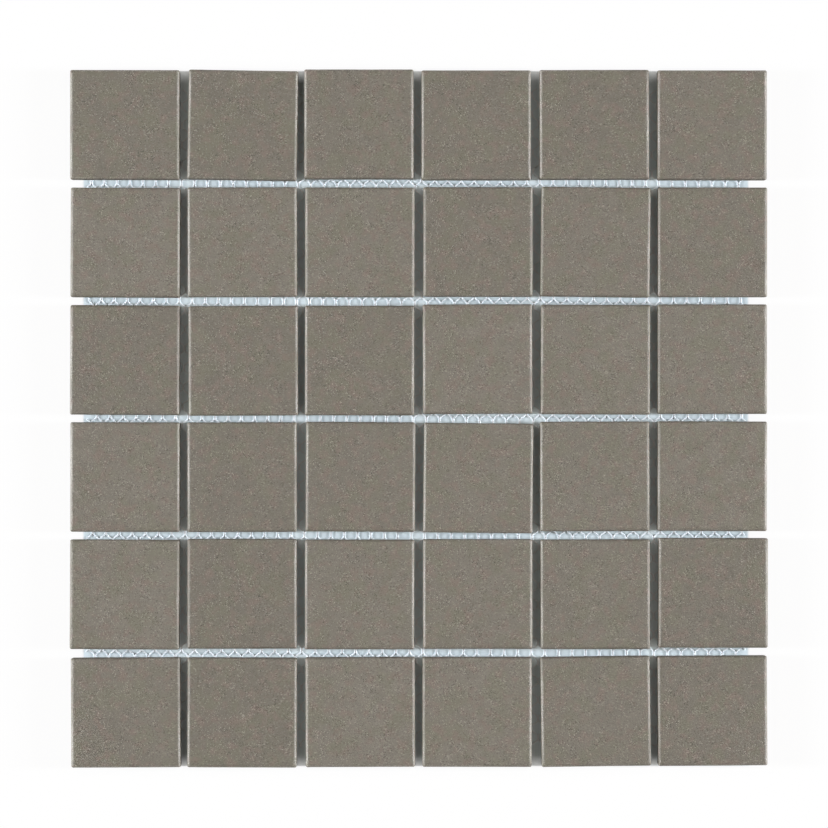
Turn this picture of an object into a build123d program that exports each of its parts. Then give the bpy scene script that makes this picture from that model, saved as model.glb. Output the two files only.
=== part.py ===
"""Mosaic sheet of small unglazed clinker tiles, six by six, on a knitted backing net.

Millimetres. The sheet lies flat with its wear face up: X runs along the rows to the right, Y up the
columns and Z upwards. Row 1 is the far row (most Y) and column 1 the left one (least X).
The origin is the middle of the sheet, on the underside of the net.
"""

import math
import os

from build123d import *

# Layout of the sheet
ROWS = 6
COLUMNS = 6
TILE_SIZE = 48.2
JOINT_WIDTH = 3.4

# One small tile, dry pressed: its draft narrows it towards the back, its wear edges are rounded
TILE_THICKNESS = 6.0
EDGE_RADIUS = 1.6
CORNER_CUT = 0.5
SIDE_DRAFT = 1.5

# Keying grooves in the back of each tile, inside a plain border
GROOVE_COUNT = 5
GROOVE_DEPTH = 0.4
RIB_WIDTH = 2.4
BACK_BORDER = 4.0

# Knitted backing net, as a plain sheet of the net's own thickness
NET_THICKNESS = 0.4
NET_INSET_LEFT = 6.3
NET_INSET_RIGHT = 8.7
NET_INSET_ENDS = 7.5

# How far a hand-laid tile strays from the grid, in millimetres and in degrees
STRAY = 0.1
STRAY_TURN = 0.12

# Tiles that lie plainly out of line, (row, column): (to the right, up the sheet, turn to the left)
OUT_OF_LINE = {
    (1, 2): (0.2, -0.1, -0.9),
    (1, 3): (-0.4, 0.3, 0.0),
    (1, 4): (-0.5, -0.1, 0.0),
    (1, 5): (-0.2, 0.1, 0.1),
    (2, 1): (0.2, -0.1, -0.3),
    (2, 2): (0.0, 0.1, 0.2),
    (2, 4): (0.3, 0.2, 0.0),
    (2, 5): (0.3, 0.1, -0.7),
    (3, 1): (0.0, -0.1, -0.3),
    (3, 2): (0.4, -0.4, 0.2),
    (3, 3): (-0.1, -0.3, -0.1),
    (3, 4): (0.1, 0.3, 0.2),
    (3, 5): (0.3, 0.1, -0.2),
    (3, 6): (0.0, 0.3, 0.0),
    (4, 3): (0.3, 0.2, -0.3),
    (4, 4): (0.4, -0.3, -0.6),
    (4, 5): (0.0, 0.4, 0.2),
    (4, 6): (0.0, 0.5, -0.2),
    (5, 1): (-0.1, 0.1, -0.3),
    (5, 2): (-0.1, 0.4, 0.0),
    (5, 4): (0.2, 0.3, 0.0),
    (5, 5): (0.2, 0.2, 0.1),
    (5, 6): (0.4, 0.8, -0.1),
    (6, 1): (0.4, -0.2, 0.3),
    (6, 2): (-0.1, -0.2, -0.2),
    (6, 3): (0.2, 0.0, 0.2),
    (6, 5): (0.4, 0.3, 0.8),
    (6, 6): (0.1, 0.6, 0.4),
}

PITCH = TILE_SIZE + JOINT_WIDTH
SHEET_LENGTH = COLUMNS * PITCH - JOINT_WIDTH
SHEET_WIDTH = ROWS * PITCH - JOINT_WIDTH


def tile_profile(plane):
    """A bar with the tile's profile: side draft, rounded wear edges and a flat top."""
    half_size = TILE_SIZE / 2
    widest = TILE_THICKNESS - EDGE_RADIUS
    half_back = half_size - widest * math.tan(math.radians(SIDE_DRAFT))
    with BuildPart() as bar:
        with BuildSketch(plane):
            with BuildLine():
                side = Polyline((0, 0), (half_back, 0), (half_size, widest))
                arris_end = (half_size - EDGE_RADIUS, TILE_THICKNESS)
                arris = RadiusArc(side @ 1, arris_end, -EDGE_RADIUS)
                Line(arris @ 1, (0, TILE_THICKNESS))
                mirror(about=Plane.YZ)
            make_face()
        extrude(amount=half_size, both=True)
    return bar.part


def small_tile():
    """One tile about its own middle, its back on Z = 0 and its wear face up."""
    draft_loss = (TILE_THICKNESS - EDGE_RADIUS) * math.tan(math.radians(SIDE_DRAFT))
    keyed_size = TILE_SIZE - 2 * draft_loss - 2 * BACK_BORDER
    groove_width = (keyed_size - (GROOVE_COUNT - 1) * RIB_WIDTH) / GROOVE_COUNT
    with BuildPart() as tile:
        add(tile_profile(Plane.XZ) & tile_profile(Plane.YZ))
        with BuildSketch(Plane.XY) as outline:
            Rectangle(TILE_SIZE, TILE_SIZE)
            chamfer(outline.vertices(), CORNER_CUT)
        extrude(amount=TILE_THICKNESS, mode=Mode.INTERSECT)
        with BuildSketch(Plane.XY):
            with GridLocations(groove_width + RIB_WIDTH, 0, GROOVE_COUNT, 1):
                Rectangle(groove_width, keyed_size)
        extrude(amount=GROOVE_DEPTH, mode=Mode.SUBTRACT)
    return tile.part


def stray_of(row, column):
    """Where a tile lies off its place in the grid: to the right, up the sheet, turn to the left."""
    if (row, column) in OUT_OF_LINE:
        return OUT_OF_LINE[row, column]
    wave = 2.4 * row + 3.7 * column
    return STRAY * math.sin(wave), STRAY * math.cos(1.9 * wave), STRAY_TURN * math.sin(2.7 * wave)


def laid_tile(tile, row, column):
    """The tile in its row and column, with its back on the net."""
    right, up, turn = stray_of(row, column)
    x = (column - (COLUMNS + 1) / 2) * PITCH + right
    y = ((ROWS + 1) / 2 - row) * PITCH + up
    return Pos(x, y, NET_THICKNESS) * Rot(0, 0, turn) * tile


def backing_net():
    """The net under the tiles, cut a little smaller than the sheet."""
    length = SHEET_LENGTH - NET_INSET_LEFT - NET_INSET_RIGHT
    width = SHEET_WIDTH - 2 * NET_INSET_ENDS
    shift = (NET_INSET_LEFT - NET_INSET_RIGHT) / 2
    flat_on_floor = (Align.CENTER, Align.CENTER, Align.MIN)
    return Pos(shift, 0, 0) * Box(length, width, NET_THICKNESS, align=flat_on_floor)


def main():
    tile = small_tile()
    pieces = {"backing_net": backing_net()}
    for row in range(1, ROWS + 1):
        for column in range(1, COLUMNS + 1):
            pieces[f"tile_r{row}_c{column}"] = laid_tile(tile, row, column)
    box = Compound(list(pieces.values())).bounding_box()
    to_origin = Pos(-box.center().X, -box.center().Y, 0)
    os.makedirs("parts", exist_ok=True)
    for name, piece in pieces.items():
        export_step(to_origin * piece, f"parts/{name}.step")


main()
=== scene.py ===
"""Mosaic sheet of unglazed clinker tiles on its knitted net: the finish of every surface.

Metres, in the frame of the solids: X to the right, Y up the sheet, Z out of the top face.
"""

import math
import random

import bmesh
import bpy
from mathutils import Matrix, Vector, noise


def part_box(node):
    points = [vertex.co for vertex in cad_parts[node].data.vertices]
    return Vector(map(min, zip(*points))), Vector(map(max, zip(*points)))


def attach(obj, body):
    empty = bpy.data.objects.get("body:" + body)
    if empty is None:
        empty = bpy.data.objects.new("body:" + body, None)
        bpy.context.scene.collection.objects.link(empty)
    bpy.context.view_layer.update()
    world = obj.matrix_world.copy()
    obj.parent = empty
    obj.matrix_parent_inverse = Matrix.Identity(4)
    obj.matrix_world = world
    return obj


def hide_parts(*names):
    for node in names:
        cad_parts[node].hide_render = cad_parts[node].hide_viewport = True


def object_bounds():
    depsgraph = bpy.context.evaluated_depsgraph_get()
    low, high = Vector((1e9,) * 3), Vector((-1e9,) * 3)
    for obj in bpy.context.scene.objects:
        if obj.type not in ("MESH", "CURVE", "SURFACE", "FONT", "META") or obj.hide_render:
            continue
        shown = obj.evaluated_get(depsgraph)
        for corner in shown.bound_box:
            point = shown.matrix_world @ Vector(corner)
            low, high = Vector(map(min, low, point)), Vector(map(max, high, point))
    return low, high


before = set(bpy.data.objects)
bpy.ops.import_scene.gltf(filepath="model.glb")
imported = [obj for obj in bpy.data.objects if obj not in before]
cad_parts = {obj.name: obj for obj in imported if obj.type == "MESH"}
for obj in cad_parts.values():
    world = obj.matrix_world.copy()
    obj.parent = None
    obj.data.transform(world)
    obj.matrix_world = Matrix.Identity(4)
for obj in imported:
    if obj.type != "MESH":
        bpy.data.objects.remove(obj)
cad_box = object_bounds()
MM = 0.001

# Places in the photograph, in its own pixels
PHOTO_SIZE = 828
SHEET_MIDDLE_PX = (418.8, 418.6)
PX_PER_MM = 2.279

# Camera, straight above the sheet
CAMERA_HEIGHT = 1.3
SENSOR = 36.0

# A low lamp at the sheet's left and right, a high one at each corner, and soft light all round
SIDE_LAMP = {"distance": 3.5, "elevation": 13.0, "length": 1.0, "height": 0.4, "power": 204.0,
             "colour": (0.97, 1.0, 1.05)}
CORNER_LAMP = {"distance": 1.5, "elevation": 47.0, "length": 1.0, "height": 0.6, "power": 3.1,
               "colour": (1.0, 0.9, 0.8)}
CORNER_AZIMUTH = 45.0
SKY_STRENGTH = 0.01
SKY_COLOUR = (1.0, 0.93, 0.86, 1.0)
WHITE = (1, 1, 1, 1)

# The room's white walls, as the sine of the angle that they rise to and fade over
WALL_TOP = 0.15
WALL_FADE = 0.1

# The floor. Past the net and at the joints' ends, over these widths, it is lifted towards white; at
# the joints' ends, inside the sheet, this is painted light that fades into the joints
FLOOR_HALF = 30.0
FLOOR_DROP = 0.02 * MM
FLOOR_LIFT = 0.92
LIFT_START = 0.5 * MM
LIFT_FULL = 1.5 * MM
BRIM_WIDTH = 2.0 * MM
BRIM_STEEPNESS = 5.0
JOINT_END_WIDTH = 5.5 * MM
PAINTED_END_LIGHT = 0.26
PAPER_UNDER_SHEET = (237, 250, 255)
PAPER_OUTSIDE = (245, 245, 245)

# One small tile
EDGE_RADIUS = 1.6 * MM
CORNER_RADIUS = 0.85 * MM
CUSHION_WIDTH = 5.0 * MM
CUSHION_DROP = 0.08 * MM
SIDE_DRAFT = math.radians(1.5)
BACK_BEVEL = 0.12 * MM
GROOVES = 5
GROOVE_DEPTH = 0.4 * MM
GROOVE_SLOPE = 0.25 * MM
RIB_WIDTH = 2.4 * MM
BACK_BORDER = 4.0 * MM

# Its mesh: heights of the rings up its sides and insets of those on its face, in millimetres,
# and how many rings and points there are elsewhere
SIDE_HEIGHTS = (0.0, 0.12, 1.2, 2.6, 4.0)
FACE_INSETS = (2.2, 2.9, 3.7, 4.6, 5.8, 7.4, 9.4, 11.6, 14.0, 16.6, 19.2, 21.8)
ARRIS_STEPS = 8
POINTS_PER_SIDE = 40
POINTS_PER_CORNER = 5
SHARP_ANGLE = math.radians(35)

# Its uneven pressed surface: swells to the metre and their height, how far the whole surface sinks
# to make room for them, and the height above its back that stays even
SLOW_SWELLS, SLOW_HEIGHT = 130, 0.03 * MM
FINE_SWELLS, FINE_HEIGHT = 900, 0.025 * MM
SURFACE_SINK = 0.03 * MM
EVEN_BACK = 0.5 * MM

# The clinker's colours, as they look on a screen: its darkest and lightest tile, its sides' painted
# shade, and the painted glints on its arrises
DARKEST_TILE = (112, 107, 96)
LIGHTEST_TILE = (123, 118, 107)
SHADED_SIDE_COLOUR = (70, 64, 57)
PAINTED_GLINT_COLOUR = (190, 185, 176)

# Clouds in it: how many to the metre, noise where they start and are full, strength, colour
CLOUDS = (
    (140, 0.4, 0.65, 0.28, (100, 95, 85)),
    (110, 0.45, 0.62, 0.65, (114, 112, 95)),
    (260, 0.5, 0.68, 0.8, (122, 109, 99)),
)

# Grains in it, in patches: how many to the metre, how far one reaches in shares of their spacing,
# and for the dark and the light ones the numbers where they start and are full, strength, colour
GRAIN_SCALE = 2300
GRAIN_EDGE, GRAIN_CORE = 0.55, 0.35
PATCH_SCALE = 170
PATCH_START, PATCH_FULL = 0.42, 0.6
FAINTEST_PATCH = 0.4
GRAINS = (
    (0.27, 0.19, 0.9, (48, 44, 39)),
    (0.8, 0.86, 0.6, (186, 181, 170)),
)

# Its fine relief: bumps to the metre, their height, the strength of both, how crisp both are
FINE_BUMPS, FINE_BUMP = 2300, 0.26 * MM
COARSE_BUMPS, COARSE_BUMP = 1250, 0.25 * MM
BUMP_STRENGTH = 0.8
CRISP = 0.6

# Its roughness on the face and the sides, what arrises have more outside the stretches of painted
# glints, and how much it mirrors
FACE_ROUGHNESS = 0.46
SIDE_ROUGHNESS = 0.85
ARRIS_ROUGHNESS = 0.18
SPECULAR = 0.7

# Painted glints, light specks that stand in for the lamps' highlights on its arrises, in stretches
# where
# they are also smoother: how many stretches to the metre, noise where they start and are full, the
# glints' strength, and the depths below the top face, in millimetres, where an arris starts and is
# full
GLINT_AND_POLISH_SCALE = 45
GLINT_AND_POLISH_START, GLINT_AND_POLISH_FULL = 0.38, 0.6
WEAR_STRENGTH = 0.5
ARRIS_FROM_BELOW = (1.3, 0.9)
ARRIS_FROM_ABOVE = (0.12, 0.35)

# Its rougher sides, darkened with painted shade: the depths, in millimetres, where the shade starts
# and is full, and where their roughness ends and the face's is full, and how strong the painted
# shade is
PAINTED_SIDE_SHADE = (1.4, 2.2)
ROUGH_TO_FACE = (1.8, 1.0)
SIDE_SHADE_STRENGTH = 0.4

# The knitted net: rows of legs along X, each two threads wide, joined by single threads
LEG_PITCH = 5.86 * MM
ROW_PITCH = 4.26 * MM
LEG_LENGTH = 2.0 * MM
NET_PARTS = 3
SPARE_THREADS = 3

# One thread: how many radii it lies off its leg's middle, how round it bends from leg to leg,
# the places on that bend that it has points at, and its share of the net's thickness
THREAD_RADIUS = 0.26 * MM
THREAD_SIDES = 6
THREAD_OFFSET = 0.95
THREAD_BEND = 0.7
THREAD_STEPS = (0.2, 0.4, 0.6, 0.8)
THREAD_FILL = 0.98

# Its yarn: the two colours that it wavers between, how often to the metre, and its faint twist
YARN_DULL = (236, 241, 245)
YARN_CLEAR = (242, 246, 249)
YARN_CLOUDS = 700
YARN_TWISTS, YARN_TWIST = 6000, 0.05 * MM
YARN_TWIST_STRENGTH = 0.6
YARN_ROUGHNESS = 0.85
YARN_SHEEN = 0.2

# How far a cut thread ends past the net's box, at its ends, and inside it, at its sides
END_STRAY = (-0.9, 0.5)
SIDE_STRAY = (0.0, 1.2)

# How the net lies: its turn, and how far it is shifted to the right and up, in millimetres, all
# over and, with x and y counted in NET_REACH, by x times y, x squared, y squared and y cubed
NET_TURN = math.radians(-0.92)
NET_REACH = 150 * MM
NET_RIGHT = (3.36, -3.38, 1.44, -0.75, -1.38)
NET_UP = (-0.71, -1.04, 0.0, 0.51, -0.86)

# Where the random draws start, for the tiles' tones and for the threads' ends
TONE_SEED = 4
THREAD_SEED = 7

tile_names = sorted(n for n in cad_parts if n.startswith("tile_"))
net_low, net_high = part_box("backing_net")
sheet_top = cad_box[1].z


def new_piece(name, mesh, material, replaced):
    """A smooth visible piece in place of a solid."""
    piece = bpy.data.objects.new(name, mesh)
    bpy.context.scene.collection.objects.link(piece)
    mesh.materials.append(material)
    mesh.polygons.foreach_set("use_smooth", [True] * len(mesh.polygons))
    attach(piece, "root")
    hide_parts(replaced)


class Nodes:
    """A short way to write the nodes of a material or a world."""

    def __init__(self, owner, output="ShaderNodeOutputMaterial"):
        self.owner = owner
        self.output = output
        owner.use_nodes = True
        self.tree = owner.node_tree
        self.tree.nodes.clear()

    def add(self, kind, inputs=None, **settings):
        node = self.tree.nodes.new(kind)
        for key, value in settings.items():
            setattr(node, key, value)
        for key, value in (inputs or {}).items():
            self.set(node.inputs[key], value)
        return node

    def set(self, socket, value):
        if isinstance(value, bpy.types.NodeSocket):
            self.tree.links.new(value, socket)
        else:
            socket.default_value = value

    def split(self, vector):
        """The three parts of a place or a colour."""
        return self.add("ShaderNodeSeparateXYZ", {0: vector}).outputs

    def noise(self, coords, scale, detail=2.0, roughness=0.5):
        values = {"Vector": coords, "Scale": scale, "Detail": detail, "Roughness": roughness}
        return self.add("ShaderNodeTexNoise", values).outputs[0]

    def grains(self, coords, scale):
        """Distance to the nearest of many scattered grains, in its spacings, and its number."""
        found = self.add("ShaderNodeTexVoronoi", {"Vector": coords, "Scale": scale})
        return found.outputs["Distance"], self.split(found.outputs["Color"])[0]

    def ramp(self, value, low, high, to_low=0.0, to_high=1.0):
        values = {0: value, 1: low, 2: high, 3: to_low, 4: to_high}
        return self.add("ShaderNodeMapRange", values, clamp=True).outputs[0]

    def math(self, operation, a, b=0.0):
        return self.add("ShaderNodeMath", {0: a, 1: b}, operation=operation).outputs[0]

    def mix(self, factor, a, b):
        values = {0: factor, 6: a, 7: b}
        return self.add("ShaderNodeMix", data_type="RGBA", inputs=values).outputs[2]

    def bump(self, height, distance, strength, normal=None):
        values = {"Height": height, "Distance": distance, "Strength": strength}
        if normal is not None:
            values["Normal"] = normal
        return self.add("ShaderNodeBump", values).outputs[0]

    def seen(self):
        """1 for what the camera sees, also in polished and clear things, 0 for what gives light."""
        ray = self.add("ShaderNodeLightPath").outputs
        seen = self.math("MAXIMUM", ray["Is Camera Ray"], ray["Is Glossy Ray"])
        return self.math("MAXIMUM", seen, ray["Is Transmission Ray"])

    def blend(self, factor, a, b):
        """The owner's look: shader a, and b as far as the factor says."""
        values = {0: factor, 1: a.outputs[0], 2: b.outputs[0]}
        return self.finish(self.add("ShaderNodeMixShader", values))

    def finish(self, shader):
        self.add(self.output, {"Surface": shader.outputs[0]})
        return self.owner


def linear(red, green, blue):
    """A colour written as it looks on a screen, 0 to 255, as the light that it reflects."""

    def one(value):
        value /= 255
        return value / 12.92 if value <= 0.04045 else ((value + 0.055) / 1.055) ** 2.4

    return (one(red), one(green), one(blue), 1.0)


def clinker_material():
    """Dense unglazed body: grey brown, cloudy, with fine dark and light grains."""
    n = Nodes(bpy.data.materials.new("clinker"))
    place = n.add("ShaderNodeTexCoord").outputs["Object"]
    height = n.split(place)[2]

    def depth(start, full, to_start=0.0, to_full=1.0):
        """A ramp between two depths below the top face, in millimetres."""
        return n.ramp(height, sheet_top - start * MM, sheet_top - full * MM, to_start, to_full)

    tone = n.add("ShaderNodeAttribute", attribute_name="tone").outputs["Fac"]
    body = n.mix(tone, linear(*DARKEST_TILE), linear(*LIGHTEST_TILE))
    for scale, start, full, strength, colour in CLOUDS:
        cloud = n.ramp(n.noise(place, scale), start, full, 0, strength)
        body = n.mix(cloud, body, linear(*colour))
    patch = n.noise(place, PATCH_SCALE, 3, CRISP)
    patches = n.ramp(patch, PATCH_START, PATCH_FULL, FAINTEST_PATCH, 1.0)
    near, number = n.grains(place, GRAIN_SCALE)
    spot = n.ramp(near, GRAIN_EDGE, GRAIN_CORE)
    for start, full, strength, colour in GRAINS:
        grain = n.math("MULTIPLY", spot, n.ramp(number, start, full, 0, strength))
        body = n.mix(n.math("MULTIPLY", grain, patches), body, linear(*colour))
    arris = n.math("MULTIPLY", depth(*ARRIS_FROM_BELOW), depth(*ARRIS_FROM_ABOVE))
    glint_and_polish = n.ramp(n.noise(place, GLINT_AND_POLISH_SCALE), GLINT_AND_POLISH_START, GLINT_AND_POLISH_FULL)
    # painted highlight: light specks on the arrises, in stretches, stand in for glints of the lamps
    painted_glint = n.math("MULTIPLY", n.math("MULTIPLY", spot, WEAR_STRENGTH), arris)
    painted_glint = n.math("MULTIPLY", painted_glint, glint_and_polish)
    body = n.mix(painted_glint, body, linear(*PAINTED_GLINT_COLOUR))
    # painted shade: the sides are darkened below the arris
    body = n.mix(depth(*PAINTED_SIDE_SHADE, 0, SIDE_SHADE_STRENGTH), body, linear(*SHADED_SIDE_COLOUR))
    relief = n.bump(n.noise(place, FINE_BUMPS, 2, CRISP), FINE_BUMP, BUMP_STRENGTH)
    relief = n.bump(n.noise(place, COARSE_BUMPS, 2, CRISP), COARSE_BUMP, BUMP_STRENGTH, relief)
    rougher_arris = n.math("MULTIPLY", arris, n.ramp(glint_and_polish, 0, 1, ARRIS_ROUGHNESS, 0))
    rough = n.math("ADD", depth(*ROUGH_TO_FACE, SIDE_ROUGHNESS, FACE_ROUGHNESS), rougher_arris)
    values = {"Base Color": body, "Roughness": rough, "Normal": relief,
              "Specular IOR Level": SPECULAR}
    return n.finish(n.add("ShaderNodeBsdfPrincipled", values))


def yarn_material():
    """White knitted yarn, matt, with a faint twist."""
    n = Nodes(bpy.data.materials.new("net_yarn"))
    place = n.add("ShaderNodeTexCoord").outputs["Object"]
    body = n.mix(n.noise(place, YARN_CLOUDS), linear(*YARN_DULL), linear(*YARN_CLEAR))
    twist = n.bump(n.noise(place, YARN_TWISTS), YARN_TWIST, YARN_TWIST_STRENGTH)
    values = {"Base Color": body, "Roughness": YARN_ROUGHNESS, "Normal": twist,
              "Sheen Weight": YARN_SHEEN}
    return n.finish(n.add("ShaderNodeBsdfPrincipled", values))


def floor_material():
    """Pale floor. Past the sheet it is lifted to white where it is seen, under its shadows. In the
    joints' ends inside the sheet the lift is painted light, fading into the joints.
    """
    n = Nodes(bpy.data.materials.new("floor"))
    x, y, _ = n.split(n.add("ShaderNodeNewGeometry").outputs["Position"])
    end = cad_box[1].y
    out = n.math("ABSOLUTE", y)
    # painted light: in the joints' ends, near the sheet's top and bottom, the floor is lifted
    # towards white
    painted_brim_light = n.math("POWER", n.ramp(out, end - BRIM_WIDTH, end), BRIM_STEEPNESS)
    painted_end_light = n.ramp(out, end - JOINT_END_WIDTH, end, 0.0, PAINTED_END_LIGHT)
    past_left = n.ramp(x, net_low.x - LIFT_START, net_low.x - LIFT_FULL)
    past_right = n.ramp(x, net_high.x + LIFT_START, net_high.x + LIFT_FULL)
    past_side = n.math("MAXIMUM", past_left, past_right)
    past = n.math("MAXIMUM", past_side, n.math("MAXIMUM", painted_brim_light, painted_end_light))
    lift = n.math("MULTIPLY", n.math("MULTIPLY", past, n.seen()), FLOOR_LIFT)
    colour = n.mix(past, linear(*PAPER_UNDER_SHEET), linear(*PAPER_OUTSIDE))
    paper = n.add("ShaderNodeBsdfDiffuse", {"Color": colour})
    white = n.add("ShaderNodeEmission", {"Color": WHITE, "Strength": 1.0})
    return n.blend(lift, paper, white)


def rounded_square(half, radius, z):
    """Points round a square with rounded corners, the same number whatever its size."""
    radius = min(radius, half)
    flat = half - radius
    points = []
    for quarter in range(4):
        turn = Matrix.Rotation(quarter * math.pi / 2, 3, "Z")
        for i in range(POINTS_PER_SIDE):
            points.append(turn @ Vector((half, -flat + 2 * flat * i / POINTS_PER_SIDE, z)))
        for i in range(POINTS_PER_CORNER):
            a = math.pi / 2 * i / POINTS_PER_CORNER
            x, y = flat + radius * math.cos(a), flat + radius * math.sin(a)
            points.append(turn @ Vector((x, y, z)))
    return points


def tile_size():
    """Width and thickness of the small tiles, from the one that is turned least."""
    widths = [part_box(n)[1].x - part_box(n)[0].x for n in tile_names]
    low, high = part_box(tile_names[0])
    return min(widths), high.z - low.z


def cushion(inset):
    """How far the top face lies below its middle, at a distance from the tile's side."""
    share = max(0.0, 1 - inset / CUSHION_WIDTH)
    return CUSHION_DROP * share * share


def tile_rings():
    """Half width, corner radius and height of each ring, from the back to the top's middle."""
    width, thickness = tile_size()
    widest = thickness - EDGE_RADIUS
    rings = []
    for z in SIDE_HEIGHTS:
        z *= MM
        half = width / 2 - (widest - z) * math.tan(SIDE_DRAFT)
        rings.append((half if z else half - BACK_BEVEL, CORNER_RADIUS, z))
    for i in range(ARRIS_STEPS + 1):
        a = math.pi / 2 * i / ARRIS_STEPS
        inset = EDGE_RADIUS * (1 - math.cos(a))
        z = widest + EDGE_RADIUS * math.sin(a)
        rings.append((width / 2 - inset, CORNER_RADIUS, z - cushion(inset)))
    for inset in FACE_INSETS:
        inset *= MM
        radius = CORNER_RADIUS * (1 - inset / (width / 2))
        rings.append((width / 2 - inset, radius, thickness - cushion(inset)))
    return rings


def join_rings(shape, loops):
    """A closed skin over rings of as many points each."""
    for low, high in zip(loops, loops[1:]):
        for i in range(len(low)):
            j = (i + 1) % len(low)
            shape.faces.new((low[i], low[j], high[j], high[i]))
    return shape.faces.new(list(reversed(loops[0]))), shape.faces.new(loops[-1])


def mesh_of(shape, name):
    mesh = bpy.data.meshes.new(name)
    shape.to_mesh(mesh)
    shape.free()
    return mesh


def tile_template():
    """One tile about its own middle with its back on z = 0."""
    shape = bmesh.new()
    loops = [[shape.verts.new(p) for p in rounded_square(*ring)] for ring in tile_rings()]
    ends = join_rings(shape, loops)
    bmesh.ops.triangulate(shape, faces=ends)
    return mesh_of(shape, "tile_template")


def groove_cutters():
    """The keying grooves, as blocks that narrow a little into the tile's back."""
    width, thickness = tile_size()
    back = width - 2 * (thickness - EDGE_RADIUS) * math.tan(SIDE_DRAFT)
    keyed = back - 2 * BACK_BORDER
    groove = (keyed - (GROOVES - 1) * RIB_WIDTH) / GROOVES
    shape = bmesh.new()
    for k in range(GROOVES):
        x = (k - (GROOVES - 1) / 2) * (groove + RIB_WIDTH)
        for v in bmesh.ops.create_cube(shape, size=1.0)["verts"]:
            deep = v.co.z > 0
            shrink = GROOVE_SLOPE if deep else -GROOVE_SLOPE
            v.co.x = x + v.co.x * (groove - shrink)
            v.co.y = v.co.y * (keyed - shrink)
            v.co.z = GROOVE_DEPTH if deep else -GROOVE_DEPTH
    return mesh_of(shape, "groove_cutters")


def cut(mesh, cutter_mesh):
    """The mesh less the cutter."""
    whole = bpy.data.objects.new("whole", mesh)
    cutter = bpy.data.objects.new("cutter", cutter_mesh)
    for o in (whole, cutter):
        bpy.context.scene.collection.objects.link(o)
    step = whole.modifiers.new("cut", "BOOLEAN")
    step.operation = "DIFFERENCE"
    step.solver = "EXACT"
    step.object = cutter
    bpy.context.view_layer.update()
    shown = whole.evaluated_get(bpy.context.evaluated_depsgraph_get())
    done = bpy.data.meshes.new_from_object(shown)
    for o in (whole, cutter):
        bpy.data.objects.remove(o)
    return done


def tile_turn(name):
    """The angle that a tile is turned by, from the longest straight edge of its solid."""
    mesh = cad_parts[name].data
    edges = [mesh.vertices[e.vertices[1]].co - mesh.vertices[e.vertices[0]].co for e in mesh.edges]
    level, aslant = 0.01 * MM, 1.5 * MM
    sides = [e for e in edges if abs(e.z) < level and min(abs(e.x), abs(e.y)) < aslant]
    longest = max(sides, key=lambda e: e.length)
    angle = math.atan2(longest.y, longest.x)
    return angle - math.pi / 2 * round(angle / (math.pi / 2))


def press(mesh, back):
    """Gives a laid tile its slightly uneven surface, all but its back."""
    normals = [v.normal.copy() for v in mesh.vertices]
    for v, normal in zip(mesh.vertices, normals):
        if v.co.z - back < EVEN_BACK:
            continue
        slow = noise.noise(v.co * SLOW_SWELLS) * SLOW_HEIGHT
        fine = noise.noise(v.co * FINE_SWELLS) * FINE_HEIGHT
        v.co += normal * (slow + fine - SURFACE_SINK)


def make_tiles(material):
    template = cut(tile_template(), groove_cutters())
    draw = random.Random(TONE_SEED)
    for name in tile_names:
        low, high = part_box(name)
        middle = (low + high) / 2
        mesh = template.copy()
        mesh.name = name + "_fired"
        place = Matrix.Translation((middle.x, middle.y, low.z))
        mesh.transform(place @ Matrix.Rotation(tile_turn(name), 4, "Z"))
        mesh.update()
        press(mesh, low.z)
        tone = mesh.attributes.new("tone", "FLOAT", "POINT")
        tone.data.foreach_set("value", [draw.random()] * len(mesh.vertices))
        new_piece(name + "_fired", mesh, material, name)
        mesh.set_sharp_from_angle(angle=SHARP_ANGLE)


def net_point(along, row):
    """Where a point of the net lies on the sheet, a little stretched and turned as it was laid."""
    x, y = along, row * ROW_PITCH
    a, b = x / NET_REACH, y / NET_REACH
    forms = (1.0, a * b, a * a, b * b, b ** 3)
    x += sum(share * form for share, form in zip(NET_RIGHT, forms)) * MM
    y += sum(share * form for share, form in zip(NET_UP, forms)) * MM
    c, s = math.cos(NET_TURN), math.sin(NET_TURN)
    return Vector((x * c - y * s, x * s + y * c, 0))


def thread_points(t, rows):
    """The path of one thread up the net: in a leg beside one neighbour, then to the other."""
    half_leg = LEG_LENGTH / ROW_PITCH / 2
    apart = THREAD_RADIUS * THREAD_OFFSET
    points = []

    def leg(row):
        if (row + t) % 2 == 0:
            return t * LEG_PITCH / 2 + apart
        return (t + 1) * LEG_PITCH / 2 - apart

    for row in range(-rows, rows):
        here, there = leg(row), leg(row + 1)
        points.append((here, row - half_leg))
        points.append((here, row + half_leg))
        for share in THREAD_STEPS:
            bent = share * share * (3 - 2 * share)
            eased = (1 - THREAD_BEND) * share + THREAD_BEND * bent
            up = row + half_leg + (1 - 2 * half_leg) * share
            points.append((here + (there - here) * eased, up))
    return [net_point(x, row) for x, row in points]


def tube(shape, path, half_height):
    """A flattened thread along a path, with closed ends."""
    loops = []
    for i, p in enumerate(path):
        ahead = (path[min(i + 1, len(path) - 1)] - path[max(i - 1, 0)]).normalized()
        side = ahead.cross(Vector((0, 0, 1))).normalized()
        up = side.cross(ahead)
        loop = []
        for k in range(THREAD_SIDES):
            a = 2 * math.pi * k / THREAD_SIDES
            off = side * THREAD_RADIUS * math.cos(a) + up * half_height * math.sin(a)
            loop.append(shape.verts.new(p + off))
        loops.append(loop)
    join_rings(shape, loops)


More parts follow.
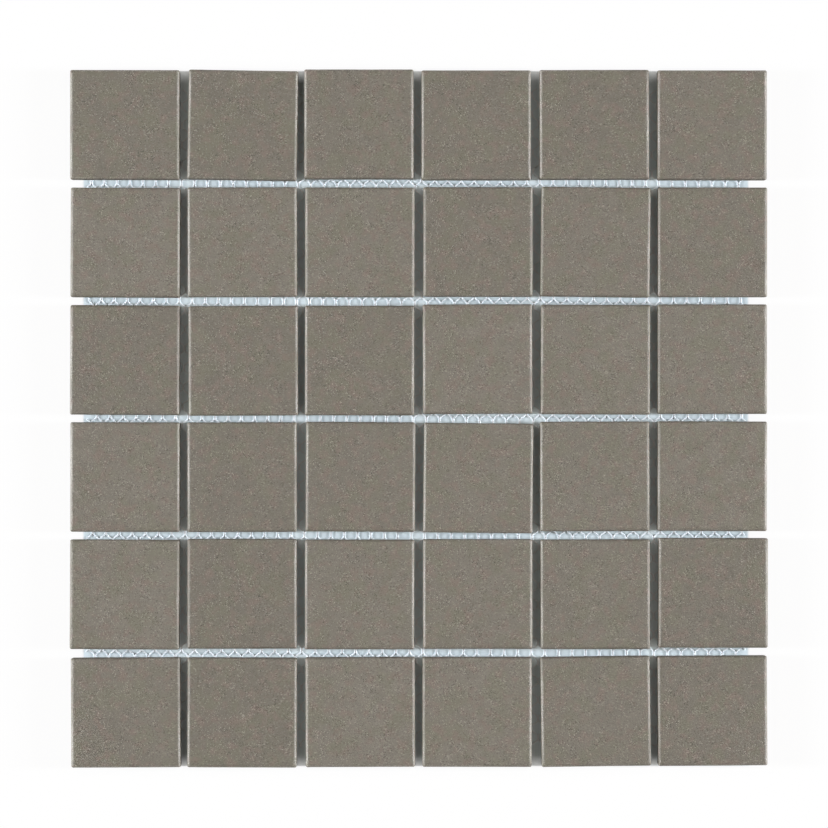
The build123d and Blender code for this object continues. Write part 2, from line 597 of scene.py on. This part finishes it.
def make_net(material):
    draw = random.Random(THREAD_SEED)
    half = (net_high - net_low) / 2
    threads = math.ceil(half.x / (LEG_PITCH / 2)) + SPARE_THREADS
    rows = math.ceil(half.y / ROW_PITCH) + SPARE_THREADS
    far_away = Vector((9, 9, 9))
    pieces = [bmesh.new() for _ in range(NET_PARTS)]
    for t in range(-threads, threads + 1):
        shape = pieces[(t + threads) * NET_PARTS // (2 * threads + 1)]
        top = net_high.y + draw.uniform(*END_STRAY) * MM
        bottom = net_low.y - draw.uniform(*END_STRAY) * MM
        left = net_low.x + draw.uniform(*SIDE_STRAY) * MM
        right = net_high.x - draw.uniform(*SIDE_STRAY) * MM
        run = []
        for p in thread_points(t, rows) + [far_away]:
            if left < p.x < right and bottom < p.y < top:
                run.append(Vector((p.x, p.y, net_low.z + half.z)))
                continue
            if len(run) > 2:
                tube(shape, run, half.z * THREAD_FILL)
            run = []
    for k, shape in enumerate(pieces):
        name = f"net_knit_{k + 1}"
        new_piece(name, mesh_of(shape, name), material, "backing_net")


def make_floor():
    mesh = bpy.data.meshes.new("floor")
    r = FLOOR_HALF
    mesh.from_pydata([(-r, -r, 0), (r, -r, 0), (r, r, 0), (-r, r, 0)], [], [(0, 1, 2, 3)])
    mesh.materials.append(floor_material())
    floor = bpy.data.objects.new("floor", mesh)
    floor.location.z = -FLOOR_DROP
    bpy.context.scene.collection.objects.link(floor)


def add_lamp(name, azimuth, shape):
    """A soft box beside the sheet, aimed at its middle."""
    lamp = bpy.data.lights.new(name, "AREA")
    lamp.shape = "RECTANGLE"
    lamp.size = shape["length"]
    lamp.size_y = shape["height"]
    lamp.energy = shape["power"]
    lamp.color = shape["colour"]
    holder = bpy.data.objects.new(name, lamp)
    about, up = math.radians(azimuth), math.radians(shape["elevation"])
    level = math.cos(up)
    way = Vector((level * math.cos(about), level * math.sin(about), math.sin(up)))
    holder.location = shape["distance"] * way
    holder.rotation_euler = (-way).to_track_quat("-Z", "Z").to_euler()
    bpy.context.scene.collection.objects.link(holder)


def light_scene():
    for side, azimuth in (("right", 0), ("left", 180)):
        add_lamp(f"lamp_{side}", azimuth, SIDE_LAMP)
        for corner in (-CORNER_AZIMUTH, CORNER_AZIMUTH):
            add_lamp(f"lamp_{side}_corner", azimuth + corner, CORNER_LAMP)


def add_studio():
    """A dim room. Its walls are white up to WALL_TOP where they are seen."""
    n = Nodes(bpy.data.worlds.new("studio"), "ShaderNodeOutputWorld")
    rise = n.split(n.add("ShaderNodeTexCoord").outputs["Generated"])[2]
    wall = n.math("MULTIPLY", n.ramp(rise, WALL_TOP + WALL_FADE, WALL_TOP), n.seen())
    soft = n.add("ShaderNodeBackground", {"Color": SKY_COLOUR, "Strength": SKY_STRENGTH})
    white = n.add("ShaderNodeBackground", {"Color": WHITE, "Strength": 1.0})
    bpy.context.scene.world = n.blend(wall, soft, white)


def add_camera():
    """Straight above the point that the photograph's middle shows."""
    x = (PHOTO_SIZE / 2 - SHEET_MIDDLE_PX[0]) / PX_PER_MM * MM
    y = (SHEET_MIDDLE_PX[1] - PHOTO_SIZE / 2) / PX_PER_MM * MM
    data = bpy.data.cameras.new("camera")
    camera = bpy.data.objects.new("camera", data)
    camera.location = (x, y, sheet_top + CAMERA_HEIGHT)
    data.sensor_width = SENSOR
    data.lens = SENSOR * CAMERA_HEIGHT / (PHOTO_SIZE / PX_PER_MM * MM)
    bpy.context.scene.collection.objects.link(camera)
    bpy.context.scene.camera = camera


make_tiles(clinker_material())
make_net(yarn_material())
make_floor()
light_scene()
add_studio()
add_camera()
bpy.context.scene.view_settings.view_transform = "Standard"
